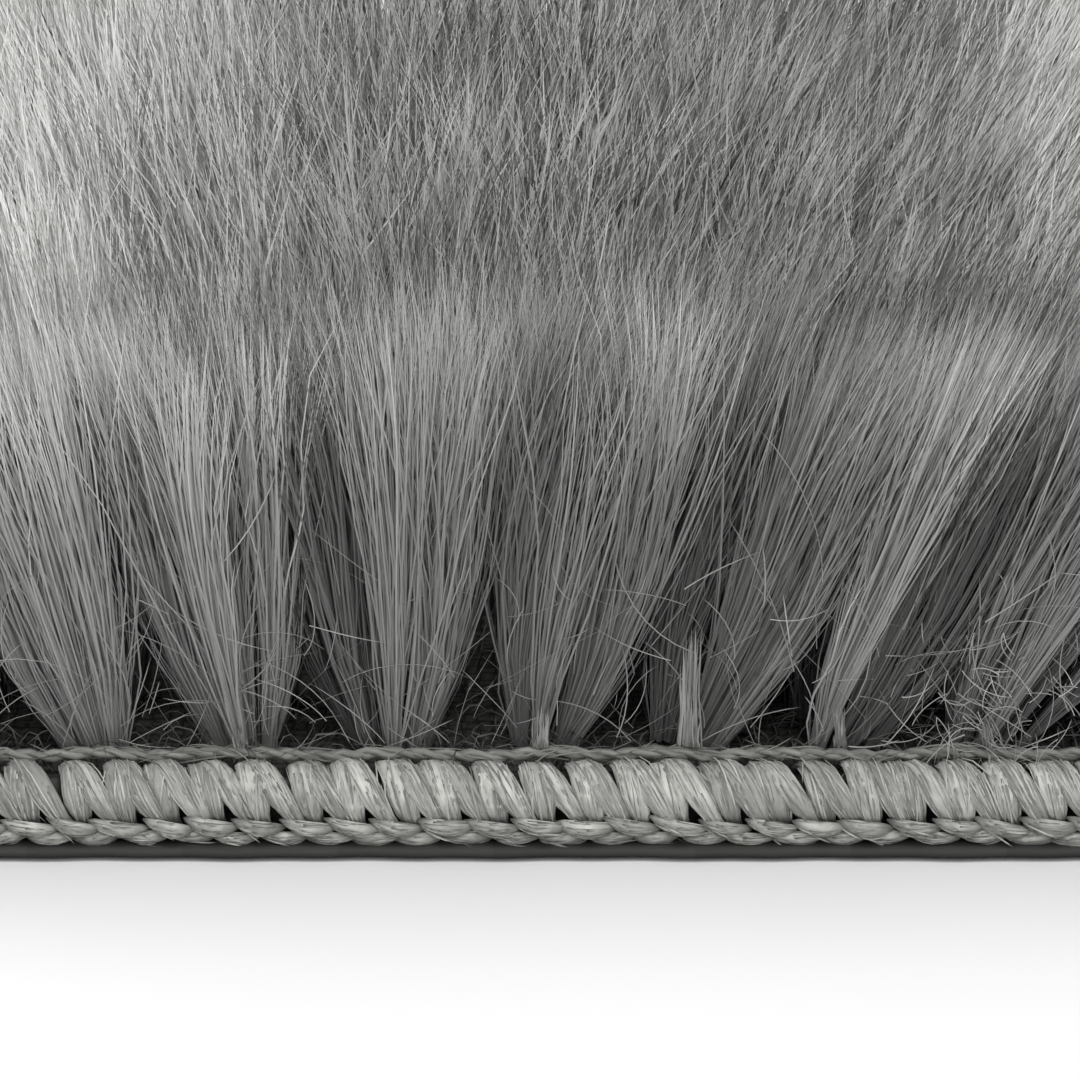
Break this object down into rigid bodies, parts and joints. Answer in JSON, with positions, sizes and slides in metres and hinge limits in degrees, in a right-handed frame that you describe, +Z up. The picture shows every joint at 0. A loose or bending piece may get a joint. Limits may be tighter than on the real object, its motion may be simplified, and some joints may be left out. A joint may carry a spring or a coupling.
{
  "type": "shag rug",
  "caption": "Small mat of long-pile shag rug: tall leaning tufts on a flat ground cloth, its edge overcast in slanted yarn with a looped chain along the foot.",
  "frame": {"origin": "on the floor, under the middle of the mat", "axes": "+X to the right along the front edge, +Y from the front edge to the back, +Z up out of the pile"},
  "size_m": [0.1537, 0.1278, 0.0377],
  "materials": {
    "backing_cloth": "dark grey woven ground, matt and hairy",
    "pile_fibre": "neutral grey fine fibres, soft silky lustre, paler at the tips",
    "binding_yarn": "pale warm grey loosely twisted yarn, matt with fine filaments",
    "chain_yarn": "pale warm grey yarn, matt"
  },
  "bodies": {
    "root": {"backing": "backing_cloth", "pile": "pile_fibre", "overcasting": "binding_yarn", "chain": "chain_yarn"}
  },
  "joints": []
}
